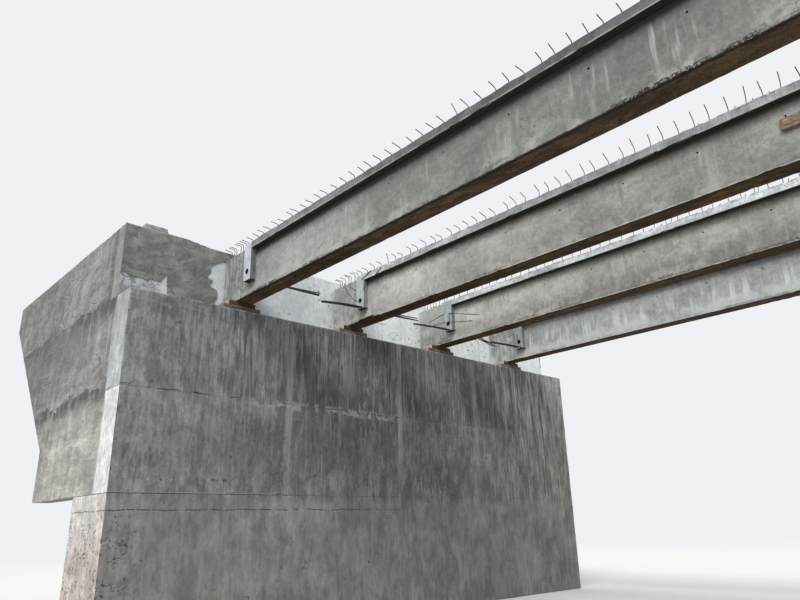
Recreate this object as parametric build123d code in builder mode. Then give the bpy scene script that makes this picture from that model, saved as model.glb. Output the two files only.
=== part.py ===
from build123d import *
import os
from math import cos, radians, sin, tan

# Reinforced concrete beam bridge before its deck is cast, in millimetres.
# +Y runs along the bridge, +Z is up, and the origin is at mid span on the level of the bases' undersides.

# Span and abutments
CLEAR_SPAN = 15000.0  # between the two abutments' faces
ABUTMENT_WIDTH = 11080.0  # across the bridge
BASE_HEIGHT = 2000.0
BASE_DEPTH = 1410.0
LOWER_LIFT_HEIGHT = 1500.0
UPPER_LIFT_HEIGHT = 1500.0
SEAT_DEPTH = 550.0  # level ledge that carries the beams
BACKWALL_THICKNESS = 300.0
BACKWALL_HEIGHT = 1215.0  # above the seat
BACKWALL_CORNER_RISE = 55.0  # its top is higher beside the wings
BACKWALL_CORNER_LENGTH = 1070.0
BACKWALL_TOP_SLOPE_LENGTH = 430.0

# Wing walls
WING_THICKNESS = 300.0
WING_LENGTH = 6320.0  # behind the seat's rear edge
WING_TOP_RISE = 115.0  # from the backwall's corner to the wing's tail
WING_TAIL_HEIGHT = 555.0  # upright end face
WING_TOE_LENGTH = 3090.0  # underside on the level of the base's top
WING_TOE_HEIGHT = 880.0  # upright stretch over that underside

# Beams
BEAM_COUNT = 4
BEAM_SPACING = 2400.0
BEAM_HEIGHT = 880.0
WEB_WIDTH = 310.0
FLANGE_WIDTH = 524.0
FLANGE_THICKNESS = 123.0
BEAM_END_GAP = 30.0  # between a beam's end and the backwall
END_BLOCK_LENGTH = 855.0  # stretch without flange at each end
STUB_LENGTH = 220.0  # start of the cross diaphragm, along the beam
STUB_CLEARANCE = 210.0  # from the beam's underside to the stub
SLEEVE_DIAMETER = 100.0
SLEEVE_SIDES = 32  # of the polygon that stands for its circle
SLEEVE_HEIGHT = 365.0  # above the beam's underside

# Stirrup legs that stand out of the beams' tops
STIRRUP_BAR = 12.0
STIRRUP_PITCH = 200.0
STIRRUP_END_COVER = 60.0
STIRRUP_SIDE_COVER = 40.0
STIRRUP_RISE = 160.0
STIRRUP_HOOK_LENGTH = 130.0
STIRRUP_HOOK_ANGLE = 15.0  # above the level

# Cross bars of the diaphragms
CROSS_BAR_DIAMETER = 16.0
CROSS_BAR_LENGTH = 900.0
CROSS_BAR_PITCH = 120.0
CROSS_BAR_HEIGHT = 45.0  # above the stub's underside

# Timber packing on the seat, in two layers
PACKING_THICKNESS = 75.0
PACKING_WIDTH = 280.0
PACKING_SETBACK = 25.0  # behind the seat's front edge
LOWER_PACKING_LENGTH = 800.0
UPPER_PACKING_LENGTH = 600.0

# Formwork board left on the second beam, and the lump on the near backwall
BOARD_THICKNESS = 40.0
BOARD_HEIGHT = 140.0
BOARD_LENGTH = 3000.0
BOARD_LEVEL = 400.0  # above the beam's underside
BOARD_SHIFT = -1815.0  # from mid span, away from the near abutment
LUMP_LENGTH = 420.0
LUMP_WIDTH = 220.0
LUMP_HEIGHT = 95.0
LUMP_INSET = 300.0  # from the abutment's left side
LUMP_SETBACK = 15.0  # behind the backwall's front face
LUMP_TAPER = 14.0

# Levels and places worked out from the sizes above
FRONT = CLEAR_SPAN / 2
BASE_TOP = BASE_HEIGHT
LOWER_LIFT_TOP = BASE_TOP + LOWER_LIFT_HEIGHT
SEAT_LEVEL = LOWER_LIFT_TOP + UPPER_LIFT_HEIGHT
SEAT_BACK = FRONT + SEAT_DEPTH
WALL_BACK = SEAT_BACK + BACKWALL_THICKNESS
CORNER_LEVEL = SEAT_LEVEL + BACKWALL_HEIGHT + BACKWALL_CORNER_RISE
WING_X = ABUTMENT_WIDTH / 2 - WING_THICKNESS / 2
WALL_WIDTH_INSIDE = ABUTMENT_WIDTH - 2 * WING_THICKNESS
BEAM_END = SEAT_BACK - BEAM_END_GAP
STUB_START = BEAM_END - END_BLOCK_LENGTH
SOFFIT = SEAT_LEVEL + 2 * PACKING_THICKNESS
BEAM_TOP = SOFFIT + BEAM_HEIGHT
STUB_BOTTOM = SOFFIT + STUB_CLEARANCE
STUB_HEIGHT = BEAM_TOP - STUB_BOTTOM
STUB_MIDDLE = STUB_START - STUB_LENGTH / 2
FIRST_BEAM_X = -(BEAM_COUNT - 1) * BEAM_SPACING / 2
BEAM_X = [FIRST_BEAM_X + i * BEAM_SPACING for i in range(BEAM_COUNT)]
SIDES = {"near": 1, "far": -1}
os.makedirs("parts", exist_ok=True)


def along(x, side):
    """Upright plane across x, drawn with its first axis pointing away from mid span."""
    return Plane(origin=(x, 0, 0), x_dir=(0, side, 0), z_dir=(side, 0, 0))


def save(piece, name):
    """Label a finished piece and write it."""
    piece.part.label = name
    export_step(piece.part, f"parts/{name}.step")


def wall_lift(bottom, height, side):
    """One cast lift: full width under the seat, narrower between the wings behind it."""
    with BuildPart() as lift:
        with BuildSketch(Plane.XY.offset(bottom)):
            with Locations((0, side * (FRONT + SEAT_DEPTH / 2))):
                Rectangle(ABUTMENT_WIDTH, SEAT_DEPTH)
            with Locations((0, side * (SEAT_BACK + BACKWALL_THICKNESS / 2))):
                Rectangle(WALL_WIDTH_INSIDE, BACKWALL_THICKNESS)
        extrude(amount=height)
    return lift


def abutment_base(side):
    """Thicker block at the abutment's foot."""
    with BuildPart() as base:
        with BuildSketch(along(0, side)):
            with Locations((FRONT + BASE_DEPTH / 2, BASE_HEIGHT / 2)):
                Rectangle(BASE_DEPTH, BASE_HEIGHT)
        extrude(amount=ABUTMENT_WIDTH / 2, both=True)
    return base


def backwall(side):
    """Wall behind the beam ends, a little higher at its two corners."""
    half = ABUTMENT_WIDTH / 2
    corner = half - BACKWALL_CORNER_LENGTH
    middle = corner - BACKWALL_TOP_SLOPE_LENGTH
    middle_level = SEAT_LEVEL + BACKWALL_HEIGHT
    wall_y = side * (SEAT_BACK + BACKWALL_THICKNESS / 2)
    face = Plane(origin=(0, wall_y, 0), x_dir=(1, 0, 0), z_dir=(0, -1, 0))
    with BuildPart() as wall:
        with BuildSketch(face):
            with BuildLine():
                Polyline(
                    (-half, SEAT_LEVEL),
                    (half, SEAT_LEVEL),
                    (half, CORNER_LEVEL),
                    (corner, CORNER_LEVEL),
                    (middle, middle_level),
                    (-middle, middle_level),
                    (-corner, CORNER_LEVEL),
                    (-half, CORNER_LEVEL),
                    close=True,
                )
            make_face()
        extrude(amount=BACKWALL_THICKNESS / 2, both=True)
    return wall


def wing_wall(x, side):
    """Side wall that hangs out behind the base, with a sloping underside."""
    tail = SEAT_BACK + WING_LENGTH
    tail_level = CORNER_LEVEL + WING_TOP_RISE
    toe = SEAT_BACK + WING_TOE_LENGTH
    with BuildPart() as wing:
        with BuildSketch(along(x, side)):
            with BuildLine():
                Polyline(
                    (SEAT_BACK, BASE_TOP),
                    (SEAT_BACK, SEAT_LEVEL),
                    (WALL_BACK, SEAT_LEVEL),
                    (WALL_BACK, CORNER_LEVEL),
                    (tail, tail_level),
                    (tail, tail_level - WING_TAIL_HEIGHT),
                    (toe, BASE_TOP + WING_TOE_HEIGHT),
                    (toe, BASE_TOP),
                    close=True,
                )
            make_face()
        extrude(amount=WING_THICKNESS / 2, both=True)
    return wing


def beam(x):
    """Beam with a plain web, a top flange between its stubs and a sleeve through each pair of stubs."""
    web_height = BEAM_HEIGHT - FLANGE_THICKNESS
    with BuildPart() as girder:
        with BuildSketch(Plane.XZ):
            with Locations((x, SOFFIT + BEAM_HEIGHT / 2)):
                Rectangle(WEB_WIDTH, BEAM_HEIGHT)
        extrude(amount=BEAM_END, both=True)
        with BuildSketch(Plane.XZ):
            with Locations((x, SOFFIT + web_height + FLANGE_THICKNESS / 2)):
                Rectangle(FLANGE_WIDTH, FLANGE_THICKNESS)
        extrude(amount=STUB_START, both=True)
        with BuildSketch(Plane.YZ.offset(x)):
            for side in SIDES.values():
                with Locations((side * STUB_MIDDLE, STUB_BOTTOM + STUB_HEIGHT / 2)):
                    Rectangle(STUB_LENGTH, STUB_HEIGHT)
        extrude(amount=FLANGE_WIDTH / 2, both=True)
        with BuildSketch(Plane.YZ.offset(x)):
            for side in SIDES.values():
                with Locations((side * STUB_MIDDLE, SOFFIT + SLEEVE_HEIGHT)):
                    RegularPolygon(SLEEVE_DIAMETER / 2, SLEEVE_SIDES)
        extrude(amount=FLANGE_WIDTH / 2, both=True, mode=Mode.SUBTRACT)
    return girder


def stirrup_rows():
    """Two rows of legs for a beam at x = 0, bent outwards over its sides."""
    reach = BEAM_END - STIRRUP_END_COVER
    steps = int(reach / STIRRUP_PITCH)
    stations = [Plane.XZ.offset(i * STIRRUP_PITCH) for i in range(-steps, steps + 1)]
    foot = WEB_WIDTH / 2 - STIRRUP_SIDE_COVER
    half = STIRRUP_BAR / 2
    mitre = half * tan(radians(90 - STIRRUP_HOOK_ANGLE) / 2)
    run = cos(radians(STIRRUP_HOOK_ANGLE))
    rise = sin(radians(STIRRUP_HOOK_ANGLE))
    tip = foot + STIRRUP_HOOK_LENGTH * run
    tip_level = BEAM_TOP + STIRRUP_RISE + STIRRUP_HOOK_LENGTH * rise
    with BuildPart() as rows:
        with BuildSketch(*stations):
            with BuildLine():
                Polyline(
                    (foot - half, BEAM_TOP),
                    (foot + half, BEAM_TOP),
                    (foot + half, BEAM_TOP + STIRRUP_RISE - mitre),
                    (tip + half * rise, tip_level - half * run),
                    (tip - half * rise, tip_level + half * run),
                    (foot - half, BEAM_TOP + STIRRUP_RISE + mitre),
                    close=True,
                )
            make_face()
            mirror(about=Plane.YZ)
        extrude(amount=half, both=True, clean=False)
    return rows


def stirrup_legs(rows, x):
    """The rows of legs, set on one beam."""
    with BuildPart() as legs:
        with Locations((x, 0, 0)):
            add(rows.part, clean=False)
    return legs


def cross_bars(x, hands):
    """Bars that stand out of one beam's stubs towards its neighbours."""
    with BuildPart() as bars:
        for hand in hands:
            with BuildSketch(Plane.YZ.offset(x + hand * FLANGE_WIDTH / 2)):
                for side in SIDES.values():
                    with Locations((side * STUB_MIDDLE, STUB_BOTTOM + CROSS_BAR_HEIGHT)):
                        with GridLocations(CROSS_BAR_PITCH, 1, 2, 1):
                            RegularPolygon(CROSS_BAR_DIAMETER / 2, 6)
            extrude(amount=hand * CROSS_BAR_LENGTH)
    return bars


def packing(level, length, side):
    """One layer of timber planks, one under each beam end."""
    with BuildPart() as planks:
        with BuildSketch(Plane.XY.offset(level)):
            with Locations((0, side * (FRONT + PACKING_SETBACK + PACKING_WIDTH / 2))):
                with GridLocations(BEAM_SPACING, 1, BEAM_COUNT, 1):
                    Rectangle(length, PACKING_WIDTH)
        extrude(amount=PACKING_THICKNESS)
    return planks


for end, side in SIDES.items():
    save(abutment_base(side), f"{end}_base")
    save(wall_lift(BASE_TOP, LOWER_LIFT_HEIGHT, side), f"{end}_lower_lift")
    save(wall_lift(LOWER_LIFT_TOP, UPPER_LIFT_HEIGHT, side), f"{end}_upper_lift")
    save(backwall(side), f"{end}_backwall")
    save(wing_wall(-WING_X, side), f"{end}_left_wing")
    save(wing_wall(WING_X, side), f"{end}_right_wing")
    save(packing(SEAT_LEVEL, LOWER_PACKING_LENGTH, side), f"{end}_lower_packing")
    save(packing(SEAT_LEVEL + PACKING_THICKNESS, UPPER_PACKING_LENGTH, side), f"{end}_upper_packing")

rows = stirrup_rows()
for number, x in enumerate(BEAM_X, start=1):
    save(beam(x), f"beam_{number}")
    save(stirrup_legs(rows, x), f"stirrups_{number}")
    inner_hands = [hand for hand in (-1, 1) if 1 <= number + hand <= BEAM_COUNT]
    save(cross_bars(x, inner_hands), f"cross_bars_{number}")

# Board left against the outer side of the second beam's web
with BuildPart() as board:
    with BuildSketch(Plane.YZ.offset(BEAM_X[1] - WEB_WIDTH / 2)):
        with Locations((BOARD_SHIFT, SOFFIT + BOARD_LEVEL + BOARD_HEIGHT / 2)):
            Rectangle(BOARD_LENGTH, BOARD_HEIGHT)
    extrude(amount=-BOARD_THICKNESS)
save(board, "formwork_board")

# Broken lump lying on the near backwall's left corner
lump_x = -ABUTMENT_WIDTH / 2 + LUMP_INSET + LUMP_LENGTH / 2
lump_y = SEAT_BACK + LUMP_SETBACK + LUMP_WIDTH / 2
with BuildPart() as lump:
    with BuildSketch(Plane.XY.offset(CORNER_LEVEL)):
        with Locations((lump_x, lump_y)):
            Rectangle(LUMP_LENGTH, LUMP_WIDTH)
    extrude(amount=LUMP_HEIGHT, taper=LUMP_TAPER)
save(lump, "loose_lump")
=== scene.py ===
import math

import bpy
import numpy as np
from mathutils import Matrix, Vector


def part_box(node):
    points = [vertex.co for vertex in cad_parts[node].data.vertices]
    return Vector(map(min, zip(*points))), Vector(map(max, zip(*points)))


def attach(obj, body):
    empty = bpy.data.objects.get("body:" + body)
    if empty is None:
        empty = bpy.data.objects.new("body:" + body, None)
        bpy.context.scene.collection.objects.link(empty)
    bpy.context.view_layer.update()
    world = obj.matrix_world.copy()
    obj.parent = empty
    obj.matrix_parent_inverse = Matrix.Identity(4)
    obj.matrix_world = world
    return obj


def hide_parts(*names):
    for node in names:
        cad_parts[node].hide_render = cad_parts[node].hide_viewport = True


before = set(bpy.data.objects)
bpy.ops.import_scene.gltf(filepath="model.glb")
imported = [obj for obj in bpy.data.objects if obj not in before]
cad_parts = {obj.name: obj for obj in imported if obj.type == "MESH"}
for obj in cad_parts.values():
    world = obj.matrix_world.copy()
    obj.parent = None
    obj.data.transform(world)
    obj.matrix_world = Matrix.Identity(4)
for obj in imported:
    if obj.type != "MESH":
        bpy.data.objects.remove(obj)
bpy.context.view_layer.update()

# Sizes read from the solids
BASE_LOW, BASE_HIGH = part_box("near_base")
LIFT_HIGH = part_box("near_lower_lift")[1]
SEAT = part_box("near_upper_lift")[1].z
WING_LOW, WING_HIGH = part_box("near_right_wing")
CORNER_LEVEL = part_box("near_backwall")[1].z
BEAM_LOW, BEAM_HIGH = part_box("beam_1")
HALF_WIDTH = BASE_HIGH.x
FRONT = BASE_LOW.y
BASE_BACK = BASE_HIGH.y
BASE_TOP = BASE_HIGH.z
LIFT_TOP = LIFT_HIGH.z
SEAT_BACK = WING_LOW.y
WALL_BACK = LIFT_HIGH.y
WING_INNER = WING_LOW.x
WING_TAIL = WING_HIGH.y
SOFFIT = BEAM_LOW.z
BEAM_TOP = BEAM_HIGH.z
BEAM_END = BEAM_HIGH.y
FLANGE_HALF = (BEAM_HIGH.x - BEAM_LOW.x) / 2
BEAM_X = [sum(corner.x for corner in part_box(f"beam_{i}")) / 2 for i in (1, 2, 3, 4)]

# Sizes of the solids' inner corners
BACKWALL_HEIGHT = 1.215
CORNER_LENGTH = 1.07
TOP_SLOPE_LENGTH = 0.43
WING_TAIL_HEIGHT = 0.555
WING_TOE = SEAT_BACK + 3.09
TOE_LEVEL = BASE_TOP + 0.88
WEB_HALF = 0.155
FLANGE_BOTTOM = BEAM_TOP - 0.123
STUB_OUTER = BEAM_END - 0.855
STUB_INNER = STUB_OUTER - 0.22
STUB_MIDDLE = (STUB_INNER + STUB_OUTER) / 2
STUB_BOTTOM = SOFFIT + 0.21

# Holes
SLEEVE_RADIUS = 0.05
SLEEVE_LEVEL = SOFFIT + 0.365
TIE_RADIUS = 0.012
TIE_DEPTH = 0.06
TIE_LEVEL = 5.725
TIE_PLACES = [6.62 - step for step in range(14)]
RING = (-1, -0.414, 0, 0.414, 1)

# Bars: the legs' places and shape, angles in degrees over level, and where they get steeper
STIRRUP_RADIUS = 0.006
STIRRUP_PITCH = 0.2
STIRRUP_LAST = BEAM_END - 0.05
STIRRUP_EXTRAS = (7.3, 7.5, 7.7, 7.9)
STIRRUP_SHIFT = 0.115
LEG_ROOT = 0.03
LEG_INSET = 0.01
LEG_BEND = 0.035
LEG_RISE = (0.13, 0.16)
LEG_REACH = (0.12, 0.15)
LEG_SPREAD = 0.025
LEG_LEAN = 0.12
LEG_RISING = (0, 8)
STEEP_START = 5.0
STEEP_LENGTH = 4.0
LEAST_BENT_SHARE = 0.05
LEAST_BENT_ANGLE = (50, 80)
WIRE_RADIUS = 0.007
OFF_FACE = 0.006
ASKEW = (0.31, 0.52, 0.17)

# Skins: distances of the grid lines beside an edge, grid steps, and waves of wear
RIM = (0.012, 0.04)
TIMBER_RIM = (0.006, 0.02)
WALL_STEP = 0.065
BACKWALL_STEP = 0.06
DEPTH_STEP = 0.07
BASE_DEPTH_STEP = 0.09
BEAM_STEP = 0.045
COAT_STEP = 0.018
TIMBER_STEPS = (0.05, 0.05, 0.03)
BOARD_STEPS = (0.03, 0.05, 0.03)
LUMP_STEP = 0.02
WEAR_WAVES = (0.31, 0.07, 0.45)
SHARP_ANGLE = math.radians(35)

# Factors that scramble a grid cell's place into a value
PLACE_FACTORS = (73856093, 19349663, 83492791)
SEED_FACTOR = 2654435761
SCRAMBLES = ((15, 2246822519), (13, 3266489917))
LARGEST = 0xFFFFFFFF

# Camera, solved from the photograph's straight edges
CAMERA_PLACE = (-8.818, -2.05, 1.495)
CAMERA_YAW = math.radians(42.64)
CAMERA_PITCH = math.radians(18.98)
CAMERA_ROLL = math.radians(-1.348)
CAMERA_LENS = 29.44
CAMERA_SENSOR = 36.0
CAMERA_FAR = 1000.0

# Light and floor
SUN_TOWARDS = (-0.6, -0.35, 0.72)
SUN_STRENGTH = 2.2
SUN_SOFTNESS = math.radians(24)
SKY_STRENGTH = 0.7
BACKDROP = (0.86, 0.88, 0.9, 1.0)
FLOOR_SIZE = 400.0
FLOOR_TONE = (0.35, 0.34, 0.32)
FLOOR_SEEN = (0.8, 0.8, 0.79)
FLOOR_FADE = (18.0, 42.0)


def value_noise(points, size, seed):
    """Smooth noise from -1 to 1 with features of a size in metres, the same on every run."""
    grid = points / size
    cell = np.floor(grid).astype(np.int64)
    part = grid - cell
    part = part * part * (3 - 2 * part)
    total = np.zeros(len(points))
    for corner in np.ndindex(2, 2, 2):
        key = (cell + corner).astype(np.uint64) * np.array(PLACE_FACTORS, np.uint64)
        mixed = key[:, 0] ^ key[:, 1] ^ key[:, 2] ^ np.uint64(seed * SEED_FACTOR)
        for shift, factor in SCRAMBLES:
            mixed = (mixed ^ (mixed >> np.uint64(shift))) * np.uint64(factor) & np.uint64(LARGEST)
        total += np.prod(np.where(corner, part, 1 - part), axis=1) * (mixed / LARGEST)
    return 2 * total - 1


def lines(marks, step, rim=RIM):
    """Grid lines along one axis: at each mark, a rim's width beside it, and at most a step apart."""
    fixed = {round(mark, 5) for mark in marks}
    for mark in marks:
        for beside in [mark + way * width for way in (-1, 1) for width in rim]:
            clear = min(abs(beside - other) for other in marks) > 0.9 * rim[0]
            if min(marks) < beside < max(marks) and clear:
                fixed.add(round(beside, 5))
    fixed = sorted(fixed)
    spans = [
        np.linspace(a, b, max(1, math.ceil((b - a) / step - 1e-6)), endpoint=False)
        for a, b in zip(fixed, fixed[1:])
    ]
    return np.append(np.concatenate(spans), fixed[-1])


def block(low, high, steps, rims=(RIM, RIM, RIM)):
    """Grid of a plain box between two corners."""
    return tuple(lines([a, b], step, rim) for a, b, step, rim in zip(low, high, steps, rims))


def lattice(xs, ys, zs, keep):
    """Skin of the kept cells of a grid: points, quads, each point's way inwards and its kept cells."""
    middles = [(line[1:] + line[:-1]) / 2 for line in (xs, ys, zs)]
    solid = np.pad(keep(*np.meshgrid(*middles, indexing="ij")), 1)
    counts = (len(xs), len(ys), len(zs))
    stride = np.array([counts[1] * counts[2], counts[2], 1])
    quads = []
    for axis in range(3):
        second, third = (axis + 1) % 3, (axis + 2) % 3
        low, high = [slice(1, -1)] * 3, [slice(1, -1)] * 3
        low[axis], high[axis] = slice(0, -1), slice(1, None)
        below, above = solid[tuple(low)], solid[tuple(high)]
        loop = np.array([0, stride[second], stride[second] + stride[third], stride[third]])
        quads.append(np.argwhere(below & ~above) @ stride[:, None] + loop)
        quads.append(np.argwhere(above & ~below) @ stride[:, None] + loop[::-1])
    used, faces = np.unique(np.concatenate(quads), return_inverse=True)
    place = np.array(np.unravel_index(used, counts)).T
    points = np.column_stack([line[place[:, i]] for i, line in enumerate((xs, ys, zs))])
    inward = np.zeros((len(used), 3))
    kept = np.zeros(len(used), int)
    for corner in np.ndindex(2, 2, 2):
        here = solid[tuple((place + corner).T)]
        inward += here[:, None] * (2 * np.array(corner) - 1)
        kept += here
    inward /= np.maximum(np.linalg.norm(inward, axis=1), 1e-9)[:, None]
    return points, faces.reshape(-1, 4), inward, kept


def everywhere(x, y, z):
    return np.ones(x.shape, bool)


def worn(grid, seed, keep=everywhere, wear=0.004, chip=0.022, ripple=0.0015, shape=None, still=None):
    """Concrete or timber in a grid's kept cells, its edges rounded and chipped, its faces uneven."""
    points, quads, inward, kept = lattice(*grid, keep)
    if shape:
        points = shape(points)
    coarse, fine, broad = (value_noise(points, size, seed + i) for i, size in enumerate(WEAR_WAVES))
    bites = wear * (1 + 0.5 * fine) + chip * np.clip(coarse + 0.8 * fine - 0.55, 0, 1)
    depth = np.where(kept < 4, bites, ripple * (1 + broad))
    if still:
        depth = np.where(still(points), 0.001, depth)
    return points + inward * depth[:, None], [quads]


def mirrored(part):
    """The same part at the other end of the bridge."""
    points, faces = part
    return points * (1, -1, 1), [face[:, ::-1] for face in faces]


def at_both_ends(parts):
    return [twin for part in parts for twin in (part, mirrored(part))]


def bar(path, radius, sides=6):
    """Round bar along a path of points."""
    path = np.asarray(path, float)
    along = np.gradient(path, axis=0)
    along /= np.linalg.norm(along, axis=1)[:, None]
    across = np.cross(along[0], ASKEW)
    turn = np.arange(sides) * 2 * math.pi / sides
    rings = []
    for point, direction in zip(path, along):
        across = across - direction * np.dot(across, direction)
        across /= np.linalg.norm(across)
        upward = np.cross(direction, across)
        rings.append(point + radius * (np.cos(turn)[:, None] * across + np.sin(turn)[:, None] * upward))
    first = np.arange((len(path) - 1) * sides)
    after = first - first % sides + (first + 1) % sides
    quads = np.column_stack([first, after, after + sides, first + sides])
    last = (len(path) - 1) * sides
    caps = np.array([np.arange(sides)[::-1], last + np.arange(sides)])
    return np.concatenate(rings), [quads, caps]


def added(name, data):
    """New object of the scene."""
    thing = bpy.data.objects.new(name, data)
    bpy.context.scene.collection.objects.link(thing)
    return thing


def build(name, parts, finish, slot, *nodes):
    """One object from several parts, which stands for the given solids."""
    points = np.concatenate([part[0] for part in parts])
    faces = []
    start = 0
    for part_points, part_faces in parts:
        for group in part_faces:
            faces += (group + start).tolist()
        start += len(part_points)
    mesh = bpy.data.meshes.new(name)
    mesh.from_pydata(points.tolist(), [], faces)
    mesh.shade_smooth()
    mesh.set_sharp_from_angle(angle=SHARP_ANGLE)
    mesh.materials.append(finish)
    piece = added(name, mesh)
    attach(piece, "root")
    if nodes:
        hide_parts(*nodes)


# Materials


class Nodes:
    """Adds nodes to a tree, each with its values and links."""

    def __init__(self, tree):
        self.tree = tree

    def add(self, kind, values=None, **settings):
        node = self.tree.nodes.new(kind)
        for key, value in settings.items():
            setattr(node, key, value)
        for key, value in (values or {}).items():
            if isinstance(value, bpy.types.NodeSocket):
                self.tree.links.new(value, node.inputs[key])
            else:
                node.inputs[key].default_value = value
        return node

    def maths(self, operation, first, *others):
        """An operation on one value, or on several one after the other."""
        if not others:
            return self.add("ShaderNodeMath", {0: first}, operation=operation).outputs[0]
        for other in others:
            first = self.add("ShaderNodeMath", {0: first, 1: other}, operation=operation).outputs[0]
        return first

    def both(self, *masks):
        return self.maths("MULTIPLY", *masks) if len(masks) > 1 else masks[0]

    def either(self, *masks):
        return self.maths("MAXIMUM", *masks)

    def plus(self, *values):
        return self.maths("ADD", *values)

    def minus(self, first, second):
        return self.maths("SUBTRACT", first, second)

    def away(self, value):
        """Distance from zero."""
        return self.maths("ABSOLUTE", value)

    def seen(self):
        """1 for the rays that show a surface to the eye, also by reflection or through glass."""
        rays = self.add("ShaderNodeLightPath").outputs
        return self.either(rays["Is Camera Ray"], rays["Is Glossy Ray"], rays["Is Transmission Ray"])

    def surface(self, blend, first, second):
        """Blend of two shaders for the tree's surface."""
        mixed = self.add("ShaderNodeMixShader", {0: blend, 1: first.outputs[0], 2: second.outputs[0]})
        output = [node for node in self.tree.nodes if node.bl_idname.startswith("ShaderNodeOutput")][0]
        self.tree.links.new(mixed.outputs[0], output.inputs["Surface"])


class Finish(Nodes):
    """The nodes of one material, in metres of the bridge's own frame, and its tone as painted so far."""

    def __init__(self, name, roughness):
        self.material = bpy.data.materials.new(name)
        self.material.use_nodes = True
        super().__init__(self.material.node_tree)
        self.shader = self.tree.nodes["Principled BSDF"]
        self.shader.inputs["Roughness"].default_value = roughness
        self.place = self.add("ShaderNodeTexCoord").outputs["Object"]
        self.x, self.y, self.z = self.split(self.place)
        self.nx, self.ny, self.nz = self.split(self.add("ShaderNodeNewGeometry").outputs["Normal"])
        self.along = self.away(self.y)
        self.tone = None

    def split(self, vector):
        return self.add("ShaderNodeSeparateXYZ", {0: vector}).outputs

    def ease(self, value, low, high, start=0.0, end=1.0, kind="SMOOTHSTEP"):
        """Change from start to end while a value goes from low to high, smooth unless it is linear."""
        values = {0: value, 1: low, 2: high, 3: start, 4: end}
        return self.add("ShaderNodeMapRange", values, interpolation_type=kind).outputs[0]

    def noise(self, seed, size, detail=3, swirl=0, stretch=(1, 1, 1)):
        """Noise from 0 to 1 with features of a size in metres, longer along an axis by its stretch."""
        scale = [1 / (size * factor) for factor in stretch]
        offset = (3.7 * seed, 1.3 * seed, 2.1 * seed)
        moved = self.add("ShaderNodeMapping", {"Vector": self.place, "Scale": scale, "Location": offset})
        values = {"Vector": moved.outputs[0], "Scale": 1.0, "Detail": detail, "Roughness": 0.55}
        values["Distortion"] = swirl
        return self.add("ShaderNodeTexNoise", values).outputs[0]

    def streaks(self, seed, size, length, detail=3, swirl=0):
        """Noise that is longer downwards."""
        return self.noise(seed, size, detail, swirl, (1, 1, length))

    def over(self, low, high, noise, end=1.0):
        """0 where a noise is under low, and its end where it is over high."""
        return self.ease(noise, low, high, 0.0, end)

    def spots(self, low, high, *noise, end=1.0):
        """The same for a noise of its own."""
        return self.over(low, high, self.noise(*noise), end)

    def mix(self, factor, first, second):
        """Blend of two colours."""
        node = self.add("ShaderNodeMix", {0: factor}, data_type="RGBA")
        for socket, colour in ((node.inputs[6], first), (node.inputs[7], second)):
            if isinstance(colour, bpy.types.NodeSocket):
                self.tree.links.new(colour, socket)
            else:
                socket.default_value = (*colour, 1.0)
        return node.outputs[2]

    def paint(self, colour, *masks):
        """Turn the tone to a colour where all masks are 1."""
        self.tone = self.mix(self.both(*masks), self.tone, colour)

    def shade(self, colour, *swings):
        """Colour made lighter and darker by noises, each with its swing up or down."""
        for noise, swing in swings:
            factor = self.ease(noise, 0.34, 0.66, 1 - swing, 1 + swing)
            colour = self.add("ShaderNodeVectorMath", {0: colour, 3: factor}, operation="SCALE").outputs[0]
        return colour

    def vary(self, *swings):
        self.tone = self.shade(self.tone, *swings)

    def ramp(self, value, *stops):
        """Colour that changes from stop to stop, each with its value and its colour."""
        low, high = stops[0][0], stops[-1][0]
        ramp = self.add("ShaderNodeValToRGB", {0: self.ease(value, low, high, kind="LINEAR")})
        elements = ramp.color_ramp.elements
        for number, (place, *colour) in enumerate(stops):
            position = (place - low) / (high - low)
            element = elements[number] if number < 2 else elements.new(position)
            element.position = position
            element.color = (*colour, 1.0)
        return ramp.outputs[0]

    def moved(self, value, noise, amount):
        """A value moved by up to about half an amount, where a noise says so."""
        return self.plus(value, self.both(self.minus(noise, 0.5), amount))

    def swaying(self, value, amount, seed, size):
        """The same over waves of a size."""
        return self.moved(value, self.noise(seed, size, 4), amount)

    def band(self, value, middle, half):
        """1 where a value is near the middle, 0 beyond half a width from it."""
        return self.ease(self.away(self.minus(value, middle)), half, 0.3 * half)

    def runs(self, value, rows, fray):
        """Mask of runs that water left, each of them frayed and fading towards its lower end."""
        masks = []
        for middle, half, high, low, strength in rows:
            length = self.both(self.ease(self.z, low - 0.1, low + 0.6 * (high - low)),
                               self.ease(self.z, high + 0.05, high - 0.1))
            masks.append(self.both(self.band(value, middle, half), length, strength))
        return self.both(self.either(*masks), fray)

    def concrete(self, marks):
        """Height shared by the concretes: fine grain, sand and trowel marks."""
        grain, sand = self.noise(5, 0.012, 4), self.noise(6, 0.05)
        return self.plus(self.both(grain, 0.3), self.both(sand, 0.35), self.both(marks, 0.5))

    def done(self, height, depth):
        """Set the colour and the bump, whose full height is a depth in metres."""
        self.tree.links.new(self.tone, self.shader.inputs["Base Color"])
        bump = self.add("ShaderNodeBump", {"Strength": 1.0, "Distance": depth, "Height": height})
        self.tree.links.new(bump.outputs[0], self.shader.inputs["Normal"])
        return self.material


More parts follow.
